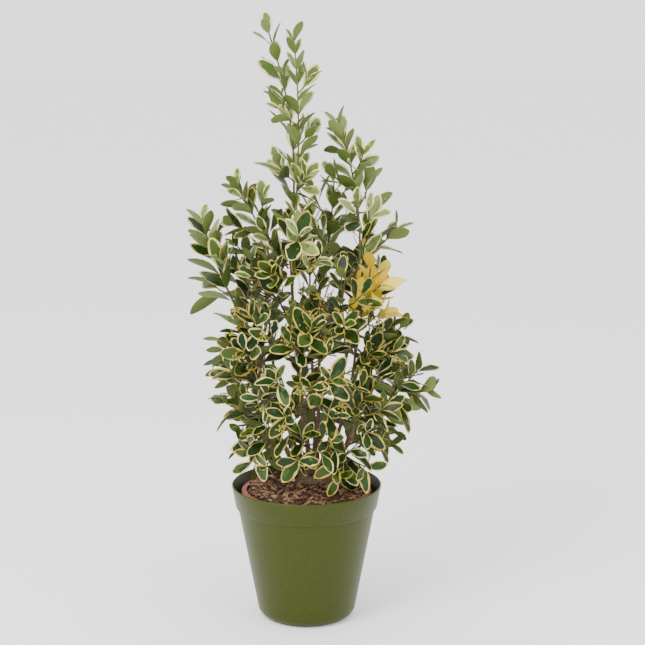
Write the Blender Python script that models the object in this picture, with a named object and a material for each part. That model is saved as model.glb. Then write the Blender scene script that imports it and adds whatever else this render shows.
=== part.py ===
"""Potted variegated euonymus: many woody stems from one crown, with a mass of leafy shoots on each.

Metres, +Z up. The origin is the middle of the outer pot's flat underside, and the front of the
plant faces -Y. Every leafy mass grows from one stem by the same seeded rule.
"""
import math
import random
from collections import namedtuple

import bmesh
import bpy
from mathutils import Matrix, Vector
from mathutils.bvhtree import BVHTree
from mathutils.kdtree import KDTree

# Clearance between neighbouring pieces
GAP = 0.0003

# Outer pot, moulded plastic with a collar band
POT_HEIGHT = 0.2009
POT_RIM_RADIUS = 0.110
POT_WALL = 0.0024
COLLAR_FOOT_RADIUS = 0.1042
COLLAR_FOOT_HEIGHT = 0.1669
BODY_TOP_RADIUS = 0.1006
BODY_FOOT_RADIUS = 0.0730
FOOT_ROUNDING = 0.0176
POT_FLOOR = 0.0035
POT_SEGMENTS = 36

# Nursery pot that stands in the outer pot
LINER_FOOT_RADIUS = 0.0520
LINER_HEEL_RADIUS = 0.0640
LINER_HEEL_HEIGHT = 0.0160
LINER_TOP_RADIUS = 0.0897
LINER_RIM_RADIUS = 0.0955
LINER_RIM_HEIGHT = 0.1920
LINER_SKIRT = 0.0140
LINER_WALL = 0.0015
LINER_SEGMENTS = 32

# Potting soil, a flat-topped mound
SOIL_TOP = 0.1970
SOIL_EDGE = 0.1880
SOIL_FLAT_RADIUS = 0.0740

# Root crown, cut flat on the soil, and the old dead stub beside it
CROWN_CENTRE = Vector((0.009, 0.023, SOIL_TOP + GAP))
CROWN_HALF = (0.036, 0.027)
CROWN_HEIGHT = 0.024
STUB_CENTRE = Vector((0.060, 0.004, SOIL_TOP + GAP))
STUB_HALF = (0.014, 0.008)
STUB_HEIGHT = 0.011
STEM_FOOT_HEIGHT = SOIL_TOP + 0.010

# Leaves: a blade is widest past its middle and has a blunt tip
LEAF_WIDTH_SHARE = 0.53
LEAF_WIDEST = 0.58
LEAF_TIP_SHARE = 0.30
LEAF_THICKNESS = 0.0012
LEAF_CURL = 0.06
LEAF_SINK = 0.0002

# Woody stems and leafy shoots
LIMB_SIDES = 6
LIMB_LENGTH = 0.045
STEM_LENGTH = 0.050
STEM_SIDES = 4
TWIG_SIDES = 3
SHOOT_TIP_RADIUS = 0.0011
SIDE_STEM_RADIUS = 0.0016
INTERNODE = 0.047
TWIG_LEAF_SHARE = 0.92
TWIG_ANGLE = math.radians(46)
SPACE_REACH = 0.080
SPACE_STEP = 0.005
CLEAR = 0.0005
TWIG_CLEAR = 0.0070

Limb = namedtuple("Limb", "name foot tip bow foot_radius tip_radius")

# Woody stems: foot on the root crown, tip, sideways bow of the middle, radii at foot and tip
LIMBS = (
    Limb("leader_stem", (0.008, 0.022), (-0.023, 0.010, 0.563), (-0.006, 0.004, 0), 0.0042, 0.0019),
    Limb("right_stem", (0.022, 0.022), (0.077, 0.000, 0.530), (0.005, 0.000, 0), 0.0038, 0.0018),
    Limb("left_stem", (-0.006, 0.020), (-0.069, -0.015, 0.404), (-0.016, -0.002, 0), 0.0040, 0.0020),
    Limb("fork_stem", (0.012, 0.032), (0.017, 0.030, 0.469), (0.004, 0.006, 0), 0.0036, 0.0019),
    Limb("front_stem", (0.008, 0.010), (-0.009, -0.045, 0.349), (0.000, -0.012, 0), 0.0032, 0.0019),
    Limb("low_left_stem", (-0.014, 0.011), (-0.064, -0.040, 0.299), (-0.005, -0.006, 0), 0.0026, 0.0017),
    Limb("low_right_stem", (0.028, 0.012), (0.069, -0.030, 0.296), (0.006, -0.004, 0), 0.0028, 0.0018),
    Limb("back_left_stem", (-0.002, 0.034), (-0.055, 0.075, 0.420), (-0.012, 0.012, 0), 0.0034, 0.0018),
    Limb("back_right_stem", (0.025, 0.034), (0.075, 0.078, 0.420), (0.012, 0.012, 0), 0.0034, 0.0018),
    Limb("back_stem", (0.013, 0.042), (0.005, 0.085, 0.460), (0.000, 0.012, 0), 0.0030, 0.0018),
)

Mass = namedtuple("Mass", "name limb at tip bow leaf spread twigs twig_length")

# Leafy masses: carrying stem and how far along it, tip of the mass's own stem, bow of its middle,
# leaf length, leaf angle in degrees at foot and tip, number and length of side twigs
MASSES = (
    Mass("leader_top", "leader_stem", 1.00, (-0.052, 0.000, 0.856), (0.018, 0.004, 0), 0.040, (46, 24), 2, 0.036),
    Mass("leader_twin", "leader_stem", 0.93, (-0.016, -0.018, 0.846), (0.008, -0.012, 0), 0.038, (46, 24), 2, 0.034),
    Mass("upper_left", "leader_stem", 0.86, (-0.097, 0.000, 0.640), (0, 0, -0.008), 0.038, (50, 28), 3, 0.050),
    Mass("shoulder_left", "leader_stem", 0.62, (-0.054, -0.040, 0.556), (-0.004, 0, -0.010), 0.044, (58, 34), 2, 0.055),
    Mass("shoulder_front", "leader_stem", 0.78, (-0.012, -0.062, 0.600), (0, -0.012, -0.010), 0.044, (60, 34), 2, 0.055),
    Mass("right_top", "right_stem", 1.00, (0.046, 0.000, 0.728), (0.010, 0, 0), 0.039, (48, 26), 3, 0.044),
    Mass("right_shoulder", "right_stem", 0.86, (0.084, 0.004, 0.630), (0.010, 0, -0.006), 0.040, (52, 30), 3, 0.052),
    Mass("yellow_spray", "right_stem", 0.66, (0.092, -0.040, 0.528), (0.004, -0.008, -0.008), 0.050, (55, 34), 2, 0.046),
    Mass("mid_right", "right_stem", 0.48, (0.118, -0.030, 0.440), (0.006, 0, -0.012), 0.047, (66, 42), 2, 0.050),
    Mass("inner_right", "right_stem", 0.56, (0.050, -0.064, 0.520), (0, -0.008, -0.012), 0.045, (62, 38), 2, 0.058),
    Mass("fork_top", "fork_stem", 1.00, (0.040, 0.018, 0.645), (0.004, 0, 0), 0.040, (54, 30), 4, 0.060),
    Mass("centre", "fork_stem", 0.70, (0.014, -0.030, 0.506), (0, -0.006, -0.014), 0.045, (66, 40), 2, 0.058),
    Mass("far_left", "left_stem", 1.00, (-0.148, 0.000, 0.586), (-0.006, 0, 0), 0.048, (50, 30), 2, 0.044),
    Mass("left_high", "left_stem", 0.90, (-0.080, 0.028, 0.528), (0, 0.004, 0), 0.044, (60, 36), 2, 0.058),
    Mass("left_mid", "left_stem", 0.66, (-0.092, -0.024, 0.425), (0, -0.004, -0.012), 0.050, (72, 50), 2, 0.050),
    Mass("left_front", "left_stem", 0.80, (-0.056, -0.066, 0.470), (0, -0.010, -0.010), 0.046, (66, 40), 2, 0.058),
    Mass("front_upper", "front_stem", 1.00, (0.002, -0.090, 0.462), (0, -0.010, -0.004), 0.047, (72, 44), 3, 0.058),
    Mass("front_right", "front_stem", 0.84, (0.040, -0.108, 0.398), (0, -0.008, -0.012), 0.048, (80, 58), 2, 0.055),
    Mass("front_left", "front_stem", 0.74, (-0.038, -0.104, 0.398), (0, -0.008, -0.014), 0.048, (80, 58), 2, 0.055),
    Mass("front_low", "front_stem", 0.46, (-0.006, -0.098, 0.300), (0, -0.006, -0.010), 0.048, (88, 72), 2, 0.050),
    Mass("low_left", "low_left_stem", 1.00, (-0.080, -0.044, 0.340), (0, 0, 0), 0.048, (80, 62), 2, 0.046),
    Mass("low_left_front", "low_left_stem", 0.72, (-0.056, -0.082, 0.286), (0, 0, -0.004), 0.048, (90, 76), 2, 0.040),
    Mass("low_left_side", "low_left_stem", 0.50, (-0.068, 0.004, 0.286), (0, 0, -0.006), 0.048, (88, 72), 2, 0.040),
    Mass("low_right", "low_right_stem", 1.00, (0.160, -0.026, 0.376), (0, 0, -0.008), 0.048, (74, 52), 2, 0.046),
    Mass("low_right_side", "low_right_stem", 0.62, (0.104, -0.014, 0.292), (0, 0, -0.004), 0.048, (86, 70), 2, 0.044),
    Mass("low_right_front", "low_right_stem", 0.46, (0.060, -0.082, 0.274), (0, 0, -0.006), 0.047, (90, 76), 2, 0.042),
    Mass("right_front", "low_right_stem", 0.88, (0.078, -0.084, 0.366), (0, -0.004, -0.006), 0.048, (76, 56), 2, 0.050),
    Mass("back_left_top", "back_left_stem", 1.00, (-0.070, 0.084, 0.540), (0, 0, -0.004), 0.045, (60, 36), 2, 0.056),
    Mass("back_left_mid", "back_left_stem", 0.60, (-0.104, 0.066, 0.384), (0, 0, -0.010), 0.048, (72, 50), 2, 0.050),
    Mass("back_left_low", "back_left_stem", 0.34, (-0.070, 0.094, 0.300), (0, 0, -0.010), 0.048, (86, 68), 2, 0.046),
    Mass("back_right_top", "back_right_stem", 1.00, (0.078, 0.086, 0.540), (0, 0, -0.004), 0.045, (60, 36), 2, 0.056),
    Mass("back_right_mid", "back_right_stem", 0.60, (0.114, 0.060, 0.384), (0, 0, -0.010), 0.048, (72, 50), 2, 0.050),
    Mass("back_right_low", "back_right_stem", 0.34, (0.078, 0.094, 0.300), (0, 0, -0.010), 0.048, (86, 68), 2, 0.046),
    Mass("back_top", "back_stem", 1.00, (0.004, 0.080, 0.600), (0, 0, -0.003), 0.044, (58, 34), 2, 0.056),
    Mass("back_mid", "back_stem", 0.66, (0.008, 0.122, 0.424), (0, 0, -0.012), 0.047, (72, 50), 2, 0.055),
    Mass("back_low", "back_stem", 0.38, (0.008, 0.112, 0.304), (0, 0, -0.010), 0.048, (86, 68), 2, 0.046),
)

# Colours of the finished pieces, linear RGB, with roughness
POT_GREEN = (0.060, 0.085, 0.016)
LINER_PINK = (0.300, 0.090, 0.075)
SOIL_BROWN = (0.110, 0.060, 0.034)
BARK_BROWN = (0.075, 0.045, 0.030)
DEAD_GREY = (0.170, 0.140, 0.110)
LEAF_GREEN = (0.100, 0.190, 0.070)
LEAF_YELLOW = (0.620, 0.430, 0.100)

# A growing axis: both ends, the bow of its middle, its radii and its number of straight lengths
Axis = namedtuple("Axis", "foot tip bow foot_radius tip_radius lengths")


def bowed(axis, share):
    """Point on the smooth bowed line of an axis at a share of its length."""
    return axis.foot.lerp(axis.tip, share) + axis.bow * (4 * share * (1 - share))


def spot(axis, share):
    """Point at a share of an axis on the straight lengths that its tube is made of."""
    step = min(axis.lengths - 1, int(share * axis.lengths))
    lower = bowed(axis, step / axis.lengths)
    upper = bowed(axis, (step + 1) / axis.lengths)
    return lower.lerp(upper, share * axis.lengths - step)


def heading(axis, share):
    """Direction of an axis at a share of its length."""
    return (axis.tip - axis.foot + axis.bow * (4 - 8 * share)).normalized()


def radius_at(axis, share):
    return axis.foot_radius + (axis.tip_radius - axis.foot_radius) * share


def sideways(direction, turn):
    """Unit vector across a direction, turned about it."""
    first = direction.cross(Vector((0.31, 0.95, 0.0))).normalized()
    return Matrix.Rotation(turn, 3, direction) @ first


def tube(axis, sides, turn=0.0, first_heading=None, extra=0.0, start=0.0):
    """Vertices and faces of a closed tapering tube along an axis."""
    points = []
    rings = axis.lengths
    for ring in range(rings + 1):
        share = max(start, ring / rings)
        along = heading(axis, share)
        if ring == 0 and first_heading is not None:
            along = first_heading
        centre = spot(axis, share)
        size = radius_at(axis, share) + extra
        for side in range(sides):
            points.append(centre + sideways(along, turn + 2 * math.pi * side / sides) * size)
    faces = [tuple(reversed(range(sides)))]
    for ring in range(rings):
        for side in range(sides):
            here = ring * sides + side
            there = ring * sides + (side + 1) % sides
            faces.append((here, there, there + sides, here + sides))
    faces.append(tuple(range(rings * sides, (rings + 1) * sides)))
    return points, faces


def blade(root, along, up, stem_heading, length, grow=0.0, start=0.0):
    """Vertices and faces of one leaf: two root corners, two shoulders and a blunt tip.

    Eight faces hold its thickness: the upper side folds from shoulder to shoulder and from one
    shoulder to the tip, and the lower side from the root to the tip's other, lower corner. The
    root corners lie along the stem, so that they are both inside it at any leaf angle.
    """
    across = up.cross(along).normalized()
    width = length * LEAF_WIDTH_SHARE + grow
    half = (LEAF_THICKNESS + grow) / 2
    base = root + along * (length * start)
    shoulder = root + along * (length * LEAF_WIDEST) + up * half
    tip = root + along * (length + grow) - up * (length * LEAF_CURL)
    points = [
        base + stem_heading * half,
        base - stem_heading * half,
        shoulder + across * (width / 2),
        tip + across * (width * LEAF_TIP_SHARE / 2) + up * half,
        tip - across * (width * LEAF_TIP_SHARE / 2) - up * half,
        shoulder - across * (width / 2),
    ]
    faces = [(0, 5, 2), (2, 5, 3), (3, 5, 4), (1, 2, 4), (1, 4, 5), (2, 3, 4), (0, 2, 1), (0, 1, 5)]
    return points, faces


def leaf_spots(axis, spread, size, turn, rng):
    """Opposite pairs along an axis, each pair turned a quarter from the last, and one at the tip."""
    length = (axis.tip - axis.foot).length
    count = max(1, round(length / INTERNODE))
    leaves = []
    for pair in range(count + 1):
        share = min(0.985, (pair + 0.75) / (count + 0.75))
        along = heading(axis, share)
        angle = spread[0] + (spread[1] - spread[0]) * share
        if pair == count:
            angle *= 0.75
        scale = size * (0.86 + 0.30 * math.sin(math.pi * min(1.0, share * 1.1))) * (1 - 0.22 * share)
        for half in (0, 1):
            out = sideways(along, turn + pair * math.pi / 2 + half * math.pi + rng.uniform(-0.2, 0.2))
            tilt = math.radians(angle + rng.uniform(-9, 9))
            length_here = scale * rng.uniform(0.88, 1.12)
            leaves.append((share, out, tilt, length_here))
    return leaves


def place_leaf(axis, share, out, tilt, length, grow=0.0, start=0.0):
    along = heading(axis, share)
    ahead = along * math.cos(tilt) + out * math.sin(tilt)
    up = along * math.sin(tilt) - out * math.cos(tilt)
    root = spot(axis, share) - out * LEAF_SINK
    return blade(root, ahead, up, along, length, grow, start)


def twig_axes(axis, mass, turn, rng):
    """Side twigs in leaf axils along a mass's stem, shorter toward its tip."""
    twigs = []
    for number in range(mass.twigs):
        share = 0.20 + 0.62 * (number + 0.5) / mass.twigs
        along = heading(axis, share)
        out = sideways(along, turn + number * 2.4 + rng.uniform(-0.4, 0.4))
        length = mass.twig_length * (1.1 - 0.45 * share) * rng.uniform(0.9, 1.15)
        ahead = along * math.cos(TWIG_ANGLE) + out * math.sin(TWIG_ANGLE)
        foot = spot(axis, share)
        thick = max(SHOOT_TIP_RADIUS * 1.15, radius_at(axis, share) * 0.66)
        bend = (out * 0.06 - along * 0.04) * length
        twigs.append(Axis(foot, foot + ahead * length, bend, thick, SHOOT_TIP_RADIUS, 2))
    return twigs


def limb_axis(limb):
    foot = Vector((limb.foot[0], limb.foot[1], STEM_FOOT_HEIGHT))
    tip = Vector(limb.tip)
    lengths = round((tip - foot).length / LIMB_LENGTH)
    return Axis(foot, tip, Vector(limb.bow), limb.foot_radius, limb.tip_radius, lengths)


def stem_axis(mass, limb):
    """Axis of a mass's own stem, 0.3 mm clear of the limb that carries it."""
    tip = Vector(mass.tip)
    carrier = spot(limb, mass.at)
    along = heading(limb, mass.at)
    lengths = max(3, round((tip - carrier).length / STEM_LENGTH))
    bow = Vector(mass.bow)
    if mass.at == 1.0:
        foot = carrier + along * GAP
        return Axis(foot, tip, bow, limb.tip_radius, SHOOT_TIP_RADIUS, lengths)
    foot = carrier
    for _ in range(3):
        ahead = (tip - foot + bow * 4).normalized()
        angle = ahead.angle(along)
        clear = radius_at(limb, mass.at) + GAP + SIDE_STEM_RADIUS * abs(math.cos(angle))
        foot = carrier + ahead * (clear / math.sin(angle))
    return Axis(foot, tip, bow, SIDE_STEM_RADIUS, SHOOT_TIP_RADIUS, lengths)


def plan_shoots(mass, stem):
    """Everything drawn by a mass's seed: its side twigs and the leaves of each shoot."""
    rng = random.Random(mass.name)
    turn = rng.uniform(0, math.pi)
    shoots = [(turn + math.pi / 4, stem, leaf_spots(stem, mass.spread, mass.leaf, turn, rng))]
    for twig in twig_axes(stem, mass, turn + 0.8, rng):
        twig_turn = rng.uniform(0, math.pi)
        leaves = leaf_spots(twig, mass.spread, mass.leaf * TWIG_LEAF_SHARE, twig_turn, rng)
        shoots.append((twig_turn, twig, leaves))
    return shoots


class Room:
    """What is already in place, and which mass each point of the crown belongs to."""

    def __init__(self):
        self.solids = []
        self.owners = []
        self.nearest = None

    def share_out(self, shoots):
        """Give each mass the space that is nearer to its own shoots than to any other's."""
        samples = []
        for name, axis in shoots:
            count = max(2, round((axis.tip - axis.foot).length / SPACE_STEP))
            samples += [(name, spot(axis, step / count)) for step in range(count + 1)]
        self.owners = [name for name, _ in samples]
        self.nearest = KDTree(len(samples))
        for index, (_, point) in enumerate(samples):
            self.nearest.insert(point, index)
        self.nearest.balance()

    def owns(self, name, points):
        """Whether every point is in the named mass's own space."""
        for point in points:
            _, index, distance = self.nearest.find(point)
            if self.owners[index] != name or distance > SPACE_REACH:
                return False
        return True

    def add(self, shape, key=None):
        points, faces = shape
        centre = sum(points, Vector()) / len(points)
        size = max((point - centre).length for point in points)
        self.solids.append((key, centre, size, BVHTree.FromPolygons(points, faces)))

    def is_free(self, shape, host=None):
        """Whether a shape touches nothing in place but the shoot that carries it."""
        points, faces = shape
        centre = sum(points, Vector()) / len(points)
        size = max((point - centre).length for point in points)
        tree = BVHTree.FromPolygons(points, faces)
        for key, other, reach, solid in self.solids:
            near = (other - centre).length < size + reach
            if near and (host is None or key != host) and tree.overlap(solid):
                return False
        return True


def fits(room, mass, host, axis, leaf):
    """The first of a few nearby stances in which a leaf keeps to its space, or None."""
    share, out, tilt, length = leaf
    for swing, scale in ((0, 1.0), (-14, 0.95), (12, 0.9), (-28, 0.85), (0, 0.72), (-20, 0.66)):
        stance = (axis, share, out, max(0.5, tilt + math.radians(swing)), length * scale)
        trial = place_leaf(*stance, grow=2 * CLEAR, start=0.14)
        if room.owns(mass.name, trial[0]) and room.is_free(trial, host):
            room.add(trial)
            return place_leaf(*stance)
    return None


def roomy_twigs(room, mass, shoots):
    """The stem of a mass and those of its twigs that keep well clear of what is in place."""
    kept = shoots[:1]
    for shoot in shoots[1:]:
        axis = shoot[1]
        if room.is_free(tube(axis, TWIG_SIDES, extra=TWIG_CLEAR, start=0.2), mass.name):
            room.add(tube(axis, TWIG_SIDES, extra=CLEAR, start=0.12), (mass.name, len(kept)))
            kept.append(shoot)
    return kept


def leafy_solids(room, mass, shoots, first_heading):
    """Solids of one mass: its stem, its twigs and its leaves."""
    turn, stem, _ = shoots[0]
    solids = [tube(stem, STEM_SIDES, turn, first_heading)]
    solids += [tube(axis, TWIG_SIDES, turn) for turn, axis, _ in shoots[1:]]
    for number, (_, axis, leaves) in enumerate(shoots):
        host = (mass.name, number) if number else mass.name
        for leaf in leaves:
            solid = fits(room, mass, host, axis, leaf)
            if solid is not None:
                solids.append(solid)
    return solids


def material(name, colour, roughness):
    finish = bpy.data.materials.new(name)
    finish.use_nodes = True
    shader = finish.node_tree.nodes["Principled BSDF"]
    shader.inputs["Base Color"].default_value = (*colour, 1.0)
    shader.inputs["Roughness"].default_value = roughness
    shader.inputs["Metallic"].default_value = 0.0
    return finish


def mesh_object(name, shape, finish=None, collection=None):
    points, faces = shape
    mesh = bpy.data.meshes.new(name)
    mesh.from_pydata(points, [], faces)
    bm = bmesh.new()
    bm.from_mesh(mesh)
    bmesh.ops.recalc_face_normals(bm, faces=bm.faces)
    bm.to_mesh(mesh)
    bm.free()
    thing = bpy.data.objects.new(name, mesh)
    (collection or bpy.context.scene.collection).objects.link(thing)
    if finish is not None:
        mesh.materials.append(finish)
    return thing


def soften(thing, angle):
    """Smooth shading that keeps the edges sharper than an angle in degrees."""
    thing.data.shade_smooth()
    thing.data.set_sharp_from_angle(angle=math.radians(angle))


def apply_boolean(thing, operation, solver, **operand):
    cut = thing.modifiers.new("boolean", "BOOLEAN")
    cut.operation = operation
    cut.solver = solver
    for key, value in operand.items():
        setattr(cut, key, value)
    with bpy.context.temp_override(object=thing, active_object=thing):
        bpy.ops.object.modifier_apply(modifier=cut.name)


def remove_collection(collection):
    for thing in list(collection.objects):
        bpy.data.objects.remove(thing)
    bpy.data.collections.remove(collection)


def main_body(bm):
    """Drop loose scraps and sealed hollows: only the largest connected shell is kept."""
    bodies = []
    left = set(bm.verts)
    while left:
        body = set()
        front = [left.pop()]
        while front:
            vertex = front.pop()
            body.add(vertex)
            for edge in vertex.link_edges:
                other = edge.other_vert(vertex)
                if other in left:
                    left.remove(other)
                    front.append(other)
        bodies.append(body)
    bodies.sort(key=len)
    scraps = [vertex for body in bodies[:-1] for vertex in body]
    bmesh.ops.delete(bm, geom=scraps, context="VERTS")
    return all(corner.is_manifold for corner in list(bm.edges) + list(bm.verts))


def union(name, solids, solver):
    """One Boolean union on a collection, and whether the body that it gives is closed."""
    body = mesh_object(name, solids[0])
    parts = bpy.data.collections.new(name + "_parts")
    bpy.context.scene.collection.children.link(parts)
    for solid in solids[1:]:
        mesh_object(name + "_part", solid, collection=parts)
    apply_boolean(body, "UNION", solver, operand_type="COLLECTION", collection=parts)
    remove_collection(parts)
    bm = bmesh.new()
    bm.from_mesh(body.data)
    bmesh.ops.remove_doubles(bm, verts=bm.verts, dist=0.000001)
    closed = main_body(bm)
    bm.to_mesh(body.data)
    bm.free()
    return body, closed


def fuse(name, solids, finish):
    """One closed body from overlapping solids, with a last leaf left off where they don't close."""
    for count in range(len(solids), 0, -1):
        for solver in ("EXACT", "MANIFOLD"):
            body, closed = union(name, solids[:count], solver)
            if closed:
                body.data.materials.clear()
                body.data.materials.append(finish)
                return body
            bpy.data.objects.remove(body)
    return None


def turned(name, profile, segments, finish):
    """Closed body turned about Z from a profile of (radius, height) points."""
    bm = bmesh.new()
    chain = [bm.verts.new((radius, 0, height)) for radius, height in profile]
    edges = [bm.edges.new(pair) for pair in zip(chain, chain[1:])]
    bmesh.ops.spin(bm, geom=chain + edges, cent=(0, 0, 0), axis=(0, 0, 1), dvec=(0, 0, 0),
                   angle=2 * math.pi, steps=segments, use_merge=True)
    bmesh.ops.remove_doubles(bm, verts=bm.verts, dist=0.00001)
    bmesh.ops.recalc_face_normals(bm, faces=bm.faces)
    mesh = bpy.data.meshes.new(name)
    bm.to_mesh(mesh)
    bm.free()
    mesh.materials.append(finish)
    thing = bpy.data.objects.new(name, mesh)
    bpy.context.scene.collection.objects.link(thing)
    soften(thing, 35)
    return thing


def rounded_foot(radius, rounding, floor, steps):
    """Quarter arc from the flat of a foot up to its side."""
    arc = []
    for step in range(steps + 1):
        angle = math.pi / 2 * step / steps
        arc.append((radius - rounding + rounding * math.sin(angle),
                    floor + rounding * (1 - math.cos(angle))))
    return arc


def outer_pot():
    rim = POT_HEIGHT - POT_WALL * 0.6
    profile = [(0, 0)]
    profile += rounded_foot(BODY_FOOT_RADIUS, FOOT_ROUNDING, 0, 4)
    profile += [
        (BODY_TOP_RADIUS, COLLAR_FOOT_HEIGHT - 0.002),
        (COLLAR_FOOT_RADIUS - 0.001, COLLAR_FOOT_HEIGHT),
        (COLLAR_FOOT_RADIUS, COLLAR_FOOT_HEIGHT + 0.0015),
        (POT_RIM_RADIUS, rim),
        (POT_RIM_RADIUS - POT_WALL / 2, POT_HEIGHT),
        (POT_RIM_RADIUS - POT_WALL, rim),
        (COLLAR_FOOT_RADIUS - POT_WALL, COLLAR_FOOT_HEIGHT + 0.003),
        (BODY_TOP_RADIUS - POT_WALL, COLLAR_FOOT_HEIGHT - 0.002),
    ]
    inside = rounded_foot(BODY_FOOT_RADIUS - POT_WALL, FOOT_ROUNDING - POT_WALL, POT_FLOOR, 2)
    profile += reversed(inside)
    profile.append((0, POT_FLOOR))
    return turned("outer_pot", profile, POT_SEGMENTS, material("pot_plastic", POT_GREEN, 0.42))


def liner_inside(height):
    """Inner radius of the nursery pot's wall at a height: a slanted heel, then a straight wall."""
    floor = POT_FLOOR + GAP
    if height < LINER_HEEL_HEIGHT:
        share = (height - floor) / (LINER_HEEL_HEIGHT - floor)
        return LINER_FOOT_RADIUS + (LINER_HEEL_RADIUS - LINER_FOOT_RADIUS) * share - LINER_WALL
    share = (height - LINER_HEEL_HEIGHT) / (LINER_RIM_HEIGHT - LINER_HEEL_HEIGHT)
    return LINER_HEEL_RADIUS + (LINER_TOP_RADIUS - LINER_HEEL_RADIUS) * share - LINER_WALL


def nursery_pot():
    floor = POT_FLOOR + GAP
    under_rim = LINER_RIM_HEIGHT - LINER_WALL
    profile = [
        (0, floor),
        (LINER_FOOT_RADIUS, floor),
        (LINER_HEEL_RADIUS, LINER_HEEL_HEIGHT),
        (LINER_TOP_RADIUS, under_rim),
        (LINER_RIM_RADIUS - LINER_WALL, under_rim),
        (LINER_RIM_RADIUS - LINER_WALL, LINER_RIM_HEIGHT - LINER_SKIRT),
        (LINER_RIM_RADIUS, LINER_RIM_HEIGHT - LINER_SKIRT),
        (LINER_RIM_RADIUS, LINER_RIM_HEIGHT - 0.001),
        (LINER_RIM_RADIUS - 0.001, LINER_RIM_HEIGHT),
        (liner_inside(LINER_RIM_HEIGHT), LINER_RIM_HEIGHT),
        (liner_inside(LINER_HEEL_HEIGHT), LINER_HEEL_HEIGHT),
        (liner_inside(floor + LINER_WALL), floor + LINER_WALL),
        (0, floor + LINER_WALL),
    ]
    return turned("nursery_pot", profile, LINER_SEGMENTS, material("pot_pink", LINER_PINK, 0.5))


def potting_soil():
    floor = POT_FLOOR + LINER_WALL + 2 * GAP
    middle = (SOIL_EDGE + floor) / 2
    profile = [
        (0, floor),
        (liner_inside(floor) - GAP, floor),
        (liner_inside(LINER_HEEL_HEIGHT) - GAP, LINER_HEEL_HEIGHT),
        (liner_inside(middle) - GAP, middle),
        (liner_inside(SOIL_EDGE) - GAP, SOIL_EDGE),
        ((liner_inside(SOIL_EDGE) + SOIL_FLAT_RADIUS) / 2, SOIL_TOP - 0.003),
        (SOIL_FLAT_RADIUS, SOIL_TOP),
        (0, SOIL_TOP),
    ]
    return turned("potting_soil", profile, LINER_SEGMENTS, material("soil", SOIL_BROWN, 0.95))


def lump(name, centre, half, height, lobes, finish):
    """Gnarled lump of wood with a flat cut underneath and lobes that flare out at its foot."""
    corners = 14
    heights = (0.0, 0.14, 0.36, 0.62, 0.86, 1.0)
    widths = (1.0, 0.88, 0.74, 0.64, 0.50, 0.26)
    rng = random.Random(name)
    phase = rng.uniform(0, math.pi)
    points = []
    for level, width in zip(heights, widths):
        for corner in range(corners):
            angle = 2 * math.pi * corner / corners
            lobe = 1 + 0.16 * (1 - 0.6 * level) * math.cos(lobes * angle + phase)
            lobe += rng.uniform(-0.04, 0.04)
            points.append(centre + Vector((half[0] * width * lobe * math.cos(angle),
                                           half[1] * width * lobe * math.sin(angle),
                                           height * level)))
    faces = [tuple(reversed(range(corners)))]
    for ring in range(len(heights) - 1):
        for corner in range(corners):
            here = ring * corners + corner
            there = ring * corners + (corner + 1) % corners
            faces.append((here, there, there + corners, here + corners))
    last = (len(heights) - 1) * corners
    faces.append(tuple(range(last, last + corners)))
    return mesh_object(name, (points, faces), finish)


def root_crown(limbs, bark):
    """The woody crown, with a socket 0.3 mm clear round the foot of every stem."""
    crown = lump("root_crown", CROWN_CENTRE, CROWN_HALF, CROWN_HEIGHT, 5, bark)
    sockets = bpy.data.collections.new("sockets")
    bpy.context.scene.collection.children.link(sockets)
    for axis in limbs.values():
        cutter = axis._replace(foot=axis.foot - heading(axis, 0) * GAP)
        mesh_object("socket", tube(cutter, LIMB_SIDES, extra=GAP * 1.2), collection=sockets)
    apply_boolean(crown, "DIFFERENCE", "EXACT", operand_type="COLLECTION", collection=sockets)
    remove_collection(sockets)
    soften(crown, 50)
    return crown


def build():
    for thing in list(bpy.data.objects):
        bpy.data.objects.remove(thing)
    outer_pot()
    nursery_pot()
    potting_soil()
    bark = material("bark", BARK_BROWN, 0.85)
    lump("dead_stub", STUB_CENTRE, STUB_HALF, STUB_HEIGHT, 3, material("dead_wood", DEAD_GREY, 0.9))
    limbs = {limb.name: limb_axis(limb) for limb in LIMBS}
    for name, axis in limbs.items():
        soften(mesh_object(name, tube(axis, LIMB_SIDES), bark), 50)
    root_crown(limbs, bark)
    stems = {mass.name: stem_axis(mass, limbs[mass.limb]) for mass in MASSES}
    room = Room()
    for axis in limbs.values():
        room.add(tube(axis, LIMB_SIDES, extra=CLEAR))
    for name, axis in stems.items():
        room.add(tube(axis, STEM_SIDES, extra=CLEAR), name)
    green = material("leaf_green", LEAF_GREEN, 0.55)
    yellow = material("leaf_yellow", LEAF_YELLOW, 0.55)
    shoots = {}
    for mass in MASSES:
        shoots[mass.name] = roomy_twigs(room, mass, plan_shoots(mass, stems[mass.name]))
    room.share_out([(name, shoot[1]) for name, kept in shoots.items() for shoot in kept])
    for mass in MASSES:
        first = heading(limbs[mass.limb], 1.0) if mass.at == 1.0 else None
        solids = leafy_solids(room, mass, shoots[mass.name], first)
        fuse(mass.name, solids, yellow if mass.name == "yellow_spray" else green)


build()
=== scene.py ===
"""Potted variegated euonymus, dressed for the photograph: stems, twigs and leaves grown by the
same seeded rule as the solids, in turned plastic pots on a pale floor.
"""

import math
import random
from collections import namedtuple
from itertools import product

import bmesh
import bpy
from mathutils import Matrix, Vector, noise
from mathutils.bvhtree import BVHTree
from mathutils.kdtree import KDTree


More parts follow.
